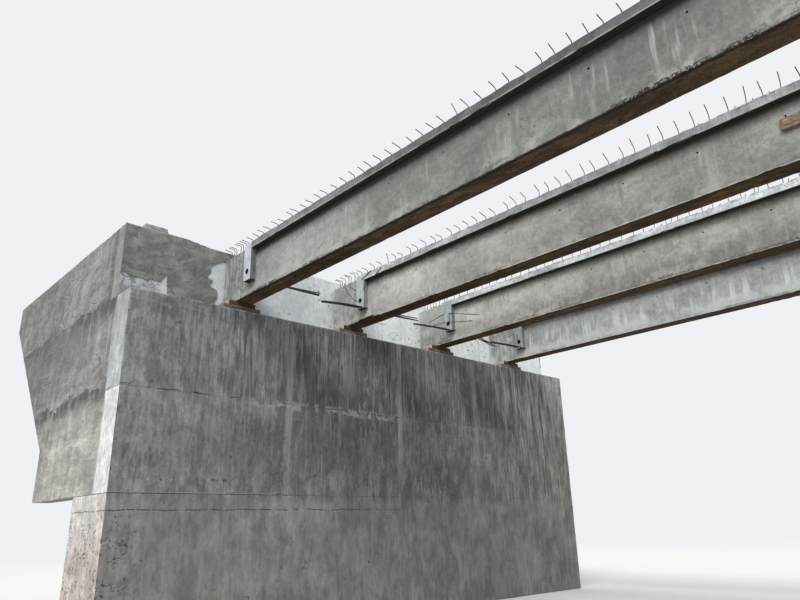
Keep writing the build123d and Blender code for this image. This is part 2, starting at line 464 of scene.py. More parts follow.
# Light runs down the abutment's face: place across, half width, upper and lower end, strength
RUNS = [
    (-5.05, 0.05, 5.0, 4.2, 0.4), (-4.57, 0.06, 5.0, 3.7, 0.5), (-4.09, 0.05, 5.0, 3.4, 0.5),
    (-3.75, 0.03, 4.9, 4.1, 0.5), (-3.38, 0.06, 4.9, 3.4, 0.6), (-2.72, 0.11, 5.0, 3.9, 0.55),
    (-2.66, 0.1, 4.8, 1.2, 0.9), (-2.64, 0.035, 4.9, 1.6, 1.0), (-1.91, 0.06, 4.9, 3.6, 0.8),
    (-1.45, 0.12, 4.7, 3.7, 0.45), (-1.33, 0.035, 5.0, 3.8, 0.6), (-0.1, 0.09, 5.0, 1.6, 0.9),
    (-0.13, 0.025, 5.0, 2.4, 1.0), (0.03, 0.02, 4.8, 2.4, 0.5), (-0.25, 0.09, 4.8, 3.8, 0.35),
    (0.42, 0.02, 4.9, 3.6, 0.5), (1.1, 0.035, 5.0, 3.6, 0.5), (1.26, 0.02, 3.6, 2.2, 0.4),
    (2.14, 0.1, 5.0, 1.8, 0.85), (2.2, 0.025, 5.0, 2.6, 0.9), (2.0, 0.1, 5.0, 4.3, 0.55),
    (3.2, 0.06, 4.9, 3.2, 0.85), (3.62, 0.05, 5.0, 3.5, 0.8), (4.07, 0.07, 4.8, 3.0, 0.9),
    (4.42, 0.06, 4.7, 2.7, 0.9), (4.75, 0.05, 4.9, 3.3, 0.8), (5.1, 0.06, 4.8, 3.4, 0.8),
]

# The same on the wing walls, along the bridge
WING_RUNS = [
    (10.48, 0.035, 6.3, 4.6, 0.75), (8.6, 0.05, 6.2, 4.85, 0.6), (8.26, 0.045, 4.7, 3.65, 0.7),
    (9.2, 0.03, 4.85, 4.4, 0.5), (11.4, 0.05, 6.2, 5.4, 0.35), (9.9, 0.04, 3.3, 2.5, 0.4),
    (8.9, 0.05, 3.3, 2.6, 0.4),
]

# The same on the beams' webs
WEB_RUNS = [
    (-0.04, 0.035, 5.85, 5.25, 0.8), (-0.16, 0.02, 5.8, 5.45, 0.5), (-0.23, 0.05, 5.5, 5.3, 0.6),
    (0.44, 0.02, 5.75, 5.3, 0.5), (0.62, 0.04, 5.4, 5.2, 0.4), (0.84, 0.03, 5.7, 5.45, 0.55),
    (1.51, 0.03, 5.75, 5.5, 0.4), (1.8, 0.02, 5.7, 5.35, 0.45), (2.9, 0.03, 5.75, 5.4, 0.4),
    (7.4, 0.03, 5.85, 5.3, 0.6), (7.62, 0.02, 5.8, 5.4, 0.5),
]


def wall_finish():
    """Stem and base: dark streaked front, bright narrow sides."""
    f = Finish("weathered_wall", 0.88)
    front = f.ease(f.away(f.ny), 0.5, 0.7)
    top = f.ease(f.nz, 0.6, 0.8)
    across = f.swaying(f.x, 0.14, 9, 0.5)
    level = f.swaying(f.z, 0.07, 15, 0.3)
    upper = f.mix(f.ease(f.x, 1.4, 2.4), f.ease(level, LIFT_TOP - 0.3, LIFT_TOP + 0.2),
                  f.ease(level, LIFT_TOP - 0.01, LIFT_TOP + 0.01))
    base = f.ease(f.z, BASE_TOP + 0.02, BASE_TOP - 0.2)
    blotch = f.streaks(2, 0.34, 1.5, 5, 0.6)
    groups = f.streaks(13, 0.62, 2.4)
    broad = f.streaks(11, 0.1, 9, 4)
    fine = f.streaks(12, 0.034, 26)
    thin = f.streaks(10, 0.018, 40, 2)
    dabs = f.streaks(28, 0.06, 4, 4, 0.4)

    high = f.ramp(f.x, (-5.5, 0.26, 0.275, 0.288), (-4.2, 0.25, 0.262, 0.272), (-3.2, 0.215, 0.23, 0.242),
                  (-2.5, 0.165, 0.177, 0.187), (-0.6, 0.163, 0.171, 0.176), (1.6, 0.165, 0.167, 0.158),
                  (3.2, 0.185, 0.188, 0.177), (4.4, 0.27, 0.275, 0.265), (5.5, 0.5, 0.52, 0.52))
    low = f.ramp(f.x, (-5.5, 0.325, 0.325, 0.317), (-3.9, 0.262, 0.266, 0.26), (-2.6, 0.18, 0.183, 0.174),
                 (-0.6, 0.154, 0.155, 0.147), (1.6, 0.19, 0.191, 0.177), (3.2, 0.285, 0.285, 0.266),
                 (5.5, 0.28, 0.28, 0.256))
    f.tone = f.mix(upper, low, high)
    f.paint(f.mix(0.5, f.tone, (0.27, 0.273, 0.262)), base)
    f.vary((f.noise(1, 1.2), 0.16), (blotch, 0.22), (dabs, 0.15), (broad, 0.07), (f.noise(4, 0.05, 4), 0.14))
    # Patches, soot and lime
    wash = f.streaks(120, 0.3, 1.8, 6, 1)
    f.paint((0.1, 0.102, 0.095), f.over(0.53, 0.555, wash, 0.34))
    f.paint((0.34, 0.35, 0.345), f.over(0.47, 0.445, wash), f.over(0.44, 0.54, dabs), 0.34)
    reach = f.either(f.both(upper, f.ease(f.x, -5, -3.6, 0.3)), f.ease(f.x, 1.5, 4, 0.3, 0.75))
    reach = f.both(reach, f.ease(base, 0, 1, 1, 0.45))
    f.paint((0.062, 0.064, 0.06), f.over(0.47, 0.6, broad), f.over(0.4, 0.58, groups, 0.75), reach)
    f.paint((0.07, 0.072, 0.068), f.over(0.53, 0.58, fine), f.over(0.4, 0.56, blotch, 0.6), reach)
    f.paint((0.34, 0.365, 0.38), f.over(0.46, 0.4, fine), f.over(0.54, 0.44, groups, 0.6),
            f.over(0.38, 0.52, dabs), reach)
    late = f.both(f.ease(f.x, 2.2, 3.6), f.ease(f.z, 2.6, 3.6, 0.5), f.over(0.4, 0.5, broad))
    wide = f.streaks(99, 0.075, 13)
    f.paint((0.46, 0.47, 0.455), f.over(0.54, 0.6, wide), late, 0.85)
    f.paint((0.09, 0.09, 0.083), f.over(0.47, 0.41, wide), late, 0.5)
    spread = f.streaks(18, 0.5, 1.6, 4)
    f.paint((0.35, 0.36, 0.355), f.over(0.57, 0.62, thin), f.over(0.48, 0.58, spread), 0.6)
    f.paint((0.33, 0.335, 0.32), f.over(0.59, 0.63, dabs), f.over(0.52, 0.62, spread), 0.35)
    f.paint((0.07, 0.071, 0.066), f.over(0.42, 0.37, dabs), f.over(0.48, 0.38, spread), 0.4)
    f.paint((0.08, 0.08, 0.074), f.band(level, 2.75, 0.5), f.over(0.4, 0.56, blotch),
            f.ease(f.x, 0.5, -2), 0.3)
    f.paint((0.34, 0.355, 0.365), f.spots(0.5, 0.66, 7, 0.05, 3, 0, (7, 1, 1)), f.ease(f.z, 4.4, 4.9), 0.4,
            f.ease(f.x, -3.6, -4.6))
    f.paint((0.37, 0.385, 0.385), f.runs(across, RUNS, f.ease(thin, 0.36, 0.6, 0.25, 0.85)))
    clouded = f.mix(f.spots(0.46, 0.56, 122, 0.4, 4, 0.8), (0.25, 0.258, 0.258), (0.222, 0.222, 0.205))
    f.paint(f.shade(clouded, (blotch, 0.2), (dabs, 0.1), (wash, 0.1)), base, 0.55)

    # Joints, cracks and the crusts beside them
    cracked = f.spots(0.5, 0.54, 17, 0.26, 5)
    joint = f.both(f.band(f.swaying(level, 0.1, 29, 0.16), LIFT_TOP, 0.01), cracked, f.ease(f.x, 2.6, 1, 0.3))
    edge = f.both(f.band(f.z, BASE_TOP, 0.008), f.ease(f.x, -2, -3.4, 0.1, 0.8))
    torn = f.swaying(f.swaying(f.z, 0.05, 19, 0.25), 0.04, 8, 0.05)
    left = f.ease(f.x, 0.5, -1.5)
    gap = f.both(f.band(torn, 1.77, 0.009), f.spots(0.38, 0.5, 20, 0.12, 5), left)
    scab = f.both(f.band(f.swaying(torn, 0.1, 49, 0.2), 2.2, 0.03), f.ease(f.x, -2.4, -3),
                  f.spots(0.56, 0.6, 50, 0.14, 5))
    crack = f.either(joint, edge, gap, f.both(scab, f.over(0.52, 0.48, dabs)))
    crust = f.both(f.band(level, LIFT_TOP - 0.03, 0.1), f.spots(0.46, 0.56, 16, 0.2, 5, 1),
                   f.either(f.both(f.ease(f.x, -3.6, -3.2), f.ease(f.x, 0.1, -0.6)), 0.2))
    f.paint((0.36, 0.4, 0.42), f.either(crust, scab), 0.85)
    f.paint((0.25, 0.29, 0.32), f.band(across, -1.4, 0.45), f.band(level, 4.15, 0.45),
            f.over(0.42, 0.6, broad, 0.6))
    lips = (
        f.both(f.ease(f.z, SEAT - 0.035, SEAT - 0.012), f.spots(0.4, 0.55, 21, 0.1), 0.6),
        f.both(f.band(f.z, BASE_TOP + 0.014, 0.014), f.ease(f.x, -2.4, -3.4), 0.4),
        f.both(f.band(torn, 1.755, 0.01), cracked, left, 0.45),
    )
    f.paint((0.4, 0.41, 0.39), f.either(*lips))
    f.paint((0.04, 0.04, 0.036), crack, 0.85)
    face = f.tone

    # Sides and top
    f.tone = f.mix(f.ease(level, LIFT_TOP - 0.02, LIFT_TOP + 0.02), (0.8, 0.83, 0.83), (0.49, 0.52, 0.53))
    f.paint((0.64, 0.615, 0.59), f.ease(f.z, BASE_TOP + 0.01, BASE_TOP - 0.02))
    f.paint((0.58, 0.52, 0.47), f.ease(f.z, 1.7, 0.9))
    f.vary((f.noise(22, 0.35, 4, 0.8), 0.16), (f.streaks(23, 0.05, 6), 0.12), (f.noise(123, 0.06, 4), 0.12))
    f.paint((0.25, 0.26, 0.265), f.ease(f.z, 4.1, 4.6, 0, 0.3))
    f.paint((0.26, 0.27, 0.27), f.ease(f.z, 3.7, 4.8), f.over(0.46, 0.6, broad, 0.8))
    ragged = f.spots(0.66, 0.7, 24, 0.09, 5, 1, end=0.6)
    seam = f.both(f.band(f.swaying(f.along, 0.05, 93, 0.14), SEAT_BACK - 0.012, 0.014), f.ease(f.z, 3.7, 4.2),
                  f.spots(0.42, 0.5, 94, 0.2, 4))
    f.paint((0.14, 0.14, 0.13), f.either(f.both(crack, 0.8), ragged, f.both(seam, 0.9)))
    f.tone = f.mix(front, f.tone, face)
    f.paint(f.shade((0.42, 0.42, 0.4), (f.noise(25, 0.3), 0.15), (broad, 0.08)), top)

    corner = f.both(f.ease(f.x, -HALF_WIDTH + 0.75, -HALF_WIDTH + 0.2), f.ease(f.z, 1.85, 1.6))
    arris = f.ease(f.away(f.x), HALF_WIDTH - 0.05, HALF_WIDTH - 0.02)
    clusters = f.noise(26, 0.24)
    rough = f.either(f.both(corner, f.over(0.46, 0.54, clusters)), f.over(0.64, 0.68, clusters),
                     f.both(arris, front, f.over(0.5, 0.56, clusters)))
    pits = f.both(f.spots(0.56, 0.6, 27, 0.035, 3, 1.2), rough)
    f.paint((0.04, 0.04, 0.037), pits, 0.85)
    return f.done(f.minus(f.concrete(blotch), f.either(crack, pits)), 0.006)


def wing_finish():
    """Wing walls: hand trowelled, with dark ragged bands along the cast joints and light runs."""
    f = Finish("trowelled_wing", 0.88)
    f.tone = f.ramp(f.z, (2.0, 0.45, 0.445, 0.41), (2.9, 0.405, 0.403, 0.374), (3.4, 0.38, 0.383, 0.358),
                    (3.9, 0.32, 0.325, 0.305), (4.6, 0.27, 0.273, 0.262), (5.4, 0.3, 0.3, 0.292),
                    (6.3, 0.32, 0.322, 0.315))
    near = f.ease(f.along, 8.9, 8.4, 0.5, f.ease(f.z, 2.6, 5.3, 0.465, 0.375))
    f.vary((f.ease(f.along, 9.4, 12.6, 0.5, 0.34), 0.24), (near, 0.5))
    f.paint((0.45, 0.455, 0.44), f.ease(f.along, 9.1, 8.7), f.band(f.z, 4.4, 0.6), 0.5)
    blotch = f.noise(31, 0.3, 5, 0.6, (1, 2.8, 1))
    smear = f.noise(32, 0.13, 5, 0.9, (1, 3, 1))
    drips = f.noise(35, 0.06, 4, 0, (1, 3, 8))
    thin = f.noise(36, 0.03, 3, 0, (1, 2, 16))
    f.vary((f.noise(30, 1.1, 3, 0, (1, 2, 1)), 0.14), (blotch, 0.2), (smear, 0.15), (drips, 0.16),
           (f.noise(33, 0.04, 4, 0, (1, 3, 1)), 0.13))
    # Strokes of the trowel: the ridges painted lighter as painted highlight, the creases and folds painted
    # darker as painted shade and also sunk in the bump
    handled = f.ease(f.z, 3.2, 3.9, 0.25)
    sweep = f.noise(43, 0.36, 1, 0.3, (1, 3.2, 1))
    ridge, crease = (f.both(f.band(sweep, middle, 0.02), f.over(0.44, 0.52, blotch), handled)
                     for middle in (0.5, 0.465))
    fold = f.both(f.over(0.56, 0.6, smear), f.over(0.64, 0.6, smear), handled, 0.4)
    f.paint((0.5, 0.51, 0.5), ridge, 0.25)
    f.paint((0.1, 0.1, 0.096), f.either(f.both(crease, 0.45), fold))

    # Dark bands along the two joints
    level = f.swaying(f.z, 0.4, 34, 0.8)
    torn = f.moved(level, smear, 0.5)
    low = f.both(f.ease(torn, LIFT_TOP + 0.15, LIFT_TOP + 0.1),
                 f.ease(level, LIFT_TOP - 0.3, LIFT_TOP + 0.02))
    high = f.both(f.ease(torn, SEAT + 0.12, SEAT + 0.04), f.ease(level, SEAT - 0.55, SEAT))
    hung = f.either(f.over(0.36, 0.56, drips), 0.35)
    patchy = f.either(f.ease(f.noise(121, 0.8, 2, 0, (1, 1.5, 1)), 0.42, 0.56, 0.6), f.ease(f.along, 11, 10))
    f.paint((0.085, 0.089, 0.092), f.either(low, high), hung, patchy)
    f.paint((0.16, 0.165, 0.166), f.ease(f.z, SEAT + 0.15, SEAT - 0.1), f.ease(f.z, 3.9, 4.5),
            f.over(0.36, 0.6, blotch, 0.4), f.ease(f.along, 8.6, 9.2))
    f.paint((0.17, 0.175, 0.172), f.over(0.54, 0.64, drips), f.spots(0.5, 0.6, 39, 0.7), 0.4)
    f.paint((0.5, 0.515, 0.51), f.over(0.56, 0.62, thin), f.over(0.52, 0.44, blotch),
            f.over(0.5, 0.6, smear), 0.5)
    place = f.swaying(f.along, 0.08, 40, 0.5)
    f.paint((0.52, 0.54, 0.54), f.runs(place, WING_RUNS, f.ease(thin, 0.36, 0.6, 0.4, 0.9)))
    pits = f.both(f.spots(0.6, 0.64, 37, 0.05, 3, 1), f.over(0.54, 0.62, smear))
    f.paint((0.08, 0.08, 0.075), pits, 0.7)
    edge = f.ease(f.swaying(f.along, 0.04, 42, 0.12), SEAT_BACK + 0.05, SEAT_BACK + 0.02)
    f.paint((0.6, 0.62, 0.62), edge, f.ease(f.z, SEAT, SEAT - 0.2), 0.7)
    height = f.plus(f.concrete(blotch), f.both(smear, 0.4))
    return f.done(f.minus(height, f.either(f.both(crease, 0.6), f.both(fold, 0.6), pits)), 0.009)


def backwall_finish():
    """Backwall: pale fresh concrete with sparse pocks and faint panel joints; its ends match the wings."""
    f = Finish("pale_backwall", 0.85)
    f.tone = f.mix(f.ease(f.x, -2.5, 0.5), (0.68, 0.73, 0.765), (0.92, 0.97, 0.98))
    cloud = f.noise(41, 0.5, 4, 0.5)
    f.vary((cloud, 0.1), (f.noise(42, 0.08, 4), 0.06))
    f.paint((0.36, 0.31, 0.26), f.spots(0.56, 0.66, 43, 0.12, 5, 0, (2.4, 1, 1)),
            f.over(0.5, 0.58, cloud), 0.5)
    f.paint((0.4, 0.42, 0.43), f.over(0.54, 0.74, f.streaks(44, 0.06, 8, 4), 0.3))
    panel = f.band(f.maths("FRACT", f.maths("DIVIDE", f.plus(f.x, 6.1), 1.22)), 0.5, 0.006)
    f.paint((0.3, 0.3, 0.29), panel, 0.4)
    f.paint((0.3, 0.27, 0.23), f.ease(f.z, SEAT + 0.14, SEAT + 0.02), f.spots(0.4, 0.6, 47, 0.15, 4), 0.5)
    pits = f.both(f.spots(0.62, 0.66, 48, 0.045, 3, 1, (1.5, 1, 1)), f.spots(0.48, 0.6, 45, 0.4))
    f.paint((0.1, 0.095, 0.085), pits, 0.85)
    foot = f.both(f.ease(f.x, -4.7, -5.1), f.ease(f.z, SEAT + 0.5, SEAT + 0.4))
    f.paint((0.2, 0.21, 0.215), foot, 0.45)
    f.paint((0.12, 0.125, 0.125), foot, f.spots(0.47, 0.52, 124, 0.13, 5, 0.8), 0.6)
    rim = f.ease(f.away(f.x), HALF_WIDTH - 0.035, HALF_WIDTH - 0.02)
    f.paint((0.12, 0.12, 0.114), rim, f.ease(f.z, SEAT + 0.34, SEAT + 0.4), 0.85)
    ends = f.ease(f.away(f.nx), 0.5, 0.7)
    f.paint(f.shade((0.29, 0.295, 0.285), (f.noise(46, 0.22), 0.16)), ends)
    return f.done(f.minus(f.concrete(cloud), pits), 0.005)


def coat_finish():
    """Thin dark render over the backwall's corner."""
    f = Finish("dark_render", 0.9)
    marks = f.noise(51, 0.2, 5, 0.8, (1.6, 1, 1))
    f.tone = (0.218, 0.222, 0.213)
    f.vary((f.noise(52, 0.6), 0.16), (marks, 0.24), (f.noise(55, 0.03), 0.08))
    f.paint((0.42, 0.44, 0.44), f.spots(0.56, 0.7, 53, 0.06, 4, 0, (4, 1, 1)), f.over(0.45, 0.6, marks), 0.5)
    f.paint((0.35, 0.37, 0.38), f.over(0.55, 0.7, f.streaks(54, 0.05, 9), 0.45))
    f.paint((0.09, 0.09, 0.088), f.spots(0.54, 0.62, 56, 0.1, 5, 1), 0.5)
    return f.done(f.concrete(marks), 0.006)


# Each beam: tones of the web and the flange at the ends and at mid span, of the stub and of its face turned
# to mid span (dark as painted shade), of the underside (brown, and darkened as painted shade), how light the
# web's foot and head are (0.5 is even), the painted shadow under the flange with its depth and strength and
# the strength of the painted shade below it, the legs' steepest bend in degrees, and how far the planks fall
# short on the right
BEAMS = [
    dict(web=(0.335, 0.35, 0.33), mid_web=(0.22, 0.225, 0.208), flange=(0.243, 0.264, 0.264),
         mid_flange=(0.147, 0.152, 0.153), stub=(0.58, 0.63, 0.68), turned=(0.065, 0.07, 0.075),
         brown_and_shade=((0.05, 0.034, 0.018), (0.125, 0.084, 0.047)), light=(0.55, 0.5), hang=0.068, shadow=0.92,
         dim=0.3, steepest=(2, 22), trim=0.1),
    dict(web=(0.47, 0.477, 0.449), mid_web=(0.31, 0.313, 0.29), flange=(0.52, 0.56, 0.555),
         mid_flange=(0.35, 0.375, 0.385), stub=(0.5, 0.55, 0.57), turned=(0.11, 0.123, 0.136),
         brown_and_shade=((0.03, 0.018, 0.005), (0.09, 0.056, 0.017)), light=(0.5, 0.6), hang=0.045, shadow=0.8,
         dim=0.28, steepest=(35, 66), trim=0.1),
    dict(web=(0.445, 0.457, 0.42), mid_web=(0.334, 0.338, 0.312), flange=(0.61, 0.65, 0.645),
         mid_flange=(0.63, 0.68, 0.68), stub=(0.41, 0.45, 0.455), turned=(0.05, 0.053, 0.058),
         brown_and_shade=((0.034, 0.019, 0.003), (0.105, 0.06, 0.008)), light=(0.37, 0.63), hang=0.042, shadow=0.6,
         dim=0.22, steepest=(20, 50), trim=0.03),
    dict(web=(0.37, 0.39, 0.375), mid_web=(0.39, 0.41, 0.4), flange=(0.58, 0.61, 0.61),
         mid_flange=(0.58, 0.61, 0.61), stub=(0.3, 0.33, 0.345), turned=(0.088, 0.095, 0.106),
         brown_and_shade=((0.027, 0.014, 0.001), (0.085, 0.044, 0.002)), light=(0.62, 0.48), hang=0.012, shadow=0.5,
         dim=0.15, steepest=(20, 50), trim=0.04),
]


def beam_finish(number, middle, look):
    """Beam: smooth streaked web, ragged lower edges, flange, pale stubs and brown underside."""
    f = Finish(f"beam_concrete_{number}", 0.8)
    f.shader.inputs["Specular IOR Level"].default_value = 0.25
    nearest = number == 1
    offset = f.minus(f.x, middle)
    cloud = f.noise(60 + number, 0.7, 4, 0, (1, 1.6, 1))
    mottle = f.noise(61, 0.16, 5, 0.7, (1, 1.3, 1))
    stream = f.streaks(62 + number, 0.05, 13)
    thin = f.streaks(58 + number, 0.022, 14, 2)
    patch = f.streaks(63 + number, 0.5, 1.5)
    grain = f.noise(59, 0.02)
    ends = f.ease(f.along, 3, 6)
    block_end = f.ease(f.along, STUB_OUTER, STUB_OUTER + 0.1)
    f.tone = f.mix(ends, look["mid_web"], look["web"])
    f.paint([0.66 * part for part in look["web"]], block_end)
    light = f.ease(f.z, SOFFIT + 0.1, SOFFIT + 0.45, *look["light"])
    f.vary((cloud, 0.15), (mottle, 0.12), (grain, 0.1), (f.noise(125, 0.06, 4), 0.07), (light, 0.2))
    f.paint((0.5, 0.515, 0.49), f.over(0.51, 0.62, stream), f.over(0.46, 0.6, patch),
            f.ease(thin, 0.36, 0.56, 0.3), 0.5)
    f.paint((0.5, 0.51, 0.48), f.over(0.53, 0.58, thin), f.over(0.42, 0.5, mottle), block_end, 0.75)
    f.paint((0.14, 0.142, 0.13), f.over(0.52, 0.64, f.streaks(64 + number, 0.06, 7, 4)),
            f.over(0.5, 0.4, patch), 0.28)
    if number == 4:
        hanging = f.both(f.over(0.46, 0.6, f.streaks(97, 0.06, 14)),
                         f.ease(f.z, FLANGE_BOTTOM - 0.1, SOFFIT + 0.25), f.over(0.4, 0.56, patch))
        foot = f.both(f.ease(f.swaying(f.z, 0.3, 98, 0.3), SOFFIT + 0.26, SOFFIT + 0.14),
                      f.over(0.36, 0.5, patch), 0.7)
        f.paint((0.72, 0.77, 0.78), f.either(hanging, foot), 0.75)
    place = f.swaying(f.plus(f.y, 2.3 * (number - 1)), 0.05, 57, 0.2)
    f.paint((0.54, 0.56, 0.54), f.runs(place, WEB_RUNS, f.ease(thin, 0.36, 0.6, 0.3, 0.9)))
    f.paint((0.5, 0.5, 0.46), f.ease(f.z, SOFFIT + 0.25, SOFFIT + 0.05), f.over(0.42, 0.58, mottle),
            f.over(0.42, 0.56, patch), 0.7)
    # Painted shadow on the web under the flange: a crisp dark band just below it and a wider painted shade
    # fading down from it, only where the flange runs above
    hung = f.moved(f.z, stream, 0.06)
    covered = f.ease(f.along, STUB_OUTER + 0.01, STUB_OUTER - 0.01)
    edge = FLANGE_BOTTOM - look["hang"]
    f.paint((0.12, 0.125, 0.122), f.ease(hung, edge - 0.17, edge, 0, look["dim"]), covered)
    f.paint((0.04, 0.042, 0.038), f.ease(hung, edge - 0.035, edge + 0.03, 0, look["shadow"]), covered)
    web = f.tone

    # Flange and stubs
    wide = f.ease(f.away(offset), WEB_HALF + 0.006, WEB_HALF + 0.012)
    f.tone = f.mix(ends, look["mid_flange"], look["flange"])
    f.vary((f.noise(65, 0.3, 5, 0, (1, 3, 1)), 0.24), (mottle, 0.2), (thin, 0.12), (grain, 0.1))
    f.paint((0.6, 0.62, 0.6), f.ease(f.z, FLANGE_BOTTOM + 0.03, FLANGE_BOTTOM + 0.01),
            f.spots(0.36, 0.56, 72, 0.2), 0.5)
    f.paint((0.09, 0.09, 0.085), f.ease(f.z, BEAM_TOP - 0.05, BEAM_TOP - 0.01),
            f.spots(0.42, 0.6, 73, 0.08, 4), 0.6)
    f.tone = f.mix(wide, web, f.tone)
    # The stub's face turned to mid span, in the nook under the flange, takes the far darker turned tone:
    # painted shade
    stub = f.mix(f.ease(f.both(f.y, f.ny), -3, -5), look["stub"], look["turned"])
    stub = f.shade(stub, (f.noise(66, 0.1, 4), 0.12), (thin, 0.1))
    stub = f.mix(f.both(f.spots(0.62, 0.67, 74, 0.05, 4, 0.8), 0.6), stub, (0.2, 0.2, 0.19))
    f.paint(stub, wide, f.ease(f.along, STUB_INNER - 0.005, STUB_INNER + 0.005))

    # Lower edges
    torn = f.swaying(f.z, 0.05, 75, 0.09)
    along_edge = f.spots(0.44, 0.56, 68 + number, 0.6, 4, 0, (1, 1.6, 1))
    rag = f.both(f.ease(torn, SOFFIT + 0.055, SOFFIT + 0.04), f.spots(0.44, 0.5, 67, 0.035, 4, 1), along_edge)
    arris = SOFFIT + (0.022 if nearest else 0.02)
    f.paint((0.03, 0.03, 0.027) if nearest else (0.62, 0.62, 0.57), f.ease(torn, arris, arris - 0.008),
            0.9 if nearest else 0.8)
    f.paint((0.022, 0.022, 0.02), rag, 0.93 if nearest else 0.4)
    f.paint((0.55, 0.55, 0.51), f.ease(torn, SOFFIT + 0.07, SOFFIT + 0.05), f.spots(0.61, 0.64, 76, 0.024),
            along_edge, 0.55)
    outside = f.tone

    # Underside, brown from the timber form it was cast on, and darker still as painted shade
    planks = f.noise(69, 0.1, 5, 0.6, (1, 3.2, 1))
    f.tone = f.mix(f.over(0.34, 0.66, planks), *look["brown_and_shade"])
    f.paint((0.2, 0.135, 0.07) if nearest else (0.18, 0.115, 0.035),
            f.spots(0.54, 0.6, 77, 0.2, 5, 0, (1, 2.4, 1)), f.over(0.44, 0.56, planks), 0.6)
    f.vary((f.noise(70, 0.5, 3, 0, (1, 2, 1)), 0.3), (grain, 0.3))
    shaded = f.swaying(offset, 0.08, 78, 0.12)
    f.paint((0.02, 0.015, 0.009), f.ease(shaded, -WEB_HALF + 0.05, -WEB_HALF + 0.03))
    # Painted shade: the flange's underside is made near black
    f.paint((0.034, 0.034, 0.027), wide)
    f.tone = f.mix(f.ease(f.nz, -0.4, -0.7), outside, f.tone)
    pits = f.both(f.spots(0.66, 0.69, 79 + number, 0.03, 3, 0.8), f.over(0.56, 0.64, cloud))
    f.paint((0.06, 0.06, 0.055), pits, 0.6)
    return f.done(f.minus(f.concrete(mottle), f.either(rag, pits)), 0.004)


def timber_finish(name, stretch, side, end_axis, sawn):
    """Rough sawn timber with grain along its stretch and light sawn ends."""
    f = Finish(name, 0.85)
    grain = f.noise(81, 0.012, 4, 0, stretch)
    f.tone = f.mix(f.ease(grain, 0.3, 0.7), side, [0.4 * part for part in side])
    f.vary((f.noise(82, 0.06, 4, 0, stretch), 0.35), (f.noise(83, 0.12, 4), 0.3))
    f.paint((0.2, 0.185, 0.165), f.spots(0.5, 0.64, 85, 0.2, 3, 0, stretch, end=0.6))
    sawn = f.shade(sawn, (f.noise(84, 0.02), 0.3), (f.noise(86, 0.05), 0.25))
    f.paint(sawn, f.ease(f.away({"x": f.nx, "y": f.ny}[end_axis]), 0.6, 0.8))
    return f.done(grain, 0.003)


def bar_finish(name, tone, rust):
    """Reinforcing bar, dark with patches of rust."""
    f = Finish(name, 0.75)
    f.tone = f.mix(f.ease(f.noise(91, 0.06), 0.4, 0.65), tone, rust)
    f.vary((f.noise(92, 0.01), 0.3))
    return f.done(f.noise(93, 0.004), 0.0008)


def lump_finish():
    """Broken concrete of the lump."""
    f = Finish("broken_lump", 0.9)
    f.tone = (0.3, 0.3, 0.285)
    f.vary((f.noise(95, 0.08, 5), 0.3), (f.noise(96, 0.02), 0.15))
    return f.done(f.concrete(f.noise(97, 0.05)), 0.008)


# Pieces


def wing_shape(points):
    """Lower edge that rises behind the toe, and a top that rises to the tail."""
    x, y, z = points.T
    run = np.clip((y - WALL_BACK) / (WING_TAIL - WALL_BACK), 0, 1)
    high = CORNER_LEVEL + run * (WING_HIGH.z - CORNER_LEVEL)
    slope = np.clip((y - WING_TOE) / (WING_TAIL - WING_TOE), 0, 1)
    low = TOE_LEVEL + slope * (WING_HIGH.z - WING_TAIL_HEIGHT - TOE_LEVEL)
    share = (z - TOE_LEVEL) / (CORNER_LEVEL - TOE_LEVEL)
    return np.column_stack([x, y, np.where(z < TOE_LEVEL, z, low + share * (high - low))])


def backwall_top(x):
    """Level of the backwall's top, which is higher at the two corners."""
    run = np.clip((HALF_WIDTH - CORNER_LENGTH - abs(x)) / TOP_SLOPE_LENGTH, 0, 1)
    return CORNER_LEVEL - run * (CORNER_LEVEL - SEAT - BACKWALL_HEIGHT)


def backwall_shape(points):
    x, y, z = points.T
    share = (z - SEAT) / (CORNER_LEVEL - SEAT)
    return np.column_stack([x, y, SEAT + share * (backwall_top(x) - SEAT)])


# Cast joints on the face: level, noise under which they are closed, and place right of which they all are
TIGHT_JOINTS = ((LIFT_TOP, 0.15, -4.3), (BASE_TOP, -0.2, -2.6))


def tight_joint(points):
    """Where the cast joints on the face are closed: all but some stretches, and those mostly on the left."""
    x, y, z = points.T
    patchy = value_noise(points * (1, 0, 0), 0.5, 9)
    closed = np.zeros(len(points), bool)
    for level, least, place in TIGHT_JOINTS:
        closed |= (abs(z - level) < 0.001) & ((patchy < least) | (x > place))
    return closed & (abs(x) < HALF_WIDTH - 0.1)


def lift(bottom, top, seed):
    """One cast lift: full width at the front, between the wings behind."""
    xs = lines([-HALF_WIDTH, -WING_INNER, WING_INNER, HALF_WIDTH], WALL_STEP)
    ys = lines([FRONT, SEAT_BACK, WALL_BACK], DEPTH_STEP)

    def keep(x, y, z):
        return (y < SEAT_BACK) | (abs(x) < WING_INNER)

    return worn((xs, ys, lines([bottom, top], WALL_STEP)), seed, keep, still=tight_joint)


def wing(low_x, high_x, seed):
    """One wing wall, hanging out behind its toe."""
    grid = [lines(marks, DEPTH_STEP) for marks in (
        [low_x, high_x], [SEAT_BACK, WALL_BACK, WING_TOE, WING_TAIL],
        [BASE_TOP, TOE_LEVEL, LIFT_TOP, SEAT, CORNER_LEVEL])]

    def keep(x, y, z):
        return ((y < WING_TOE) | (z > TOE_LEVEL)) & ((y > WALL_BACK) | (z < SEAT))

    return worn(grid, seed, keep, ripple=0.003, shape=wing_shape)


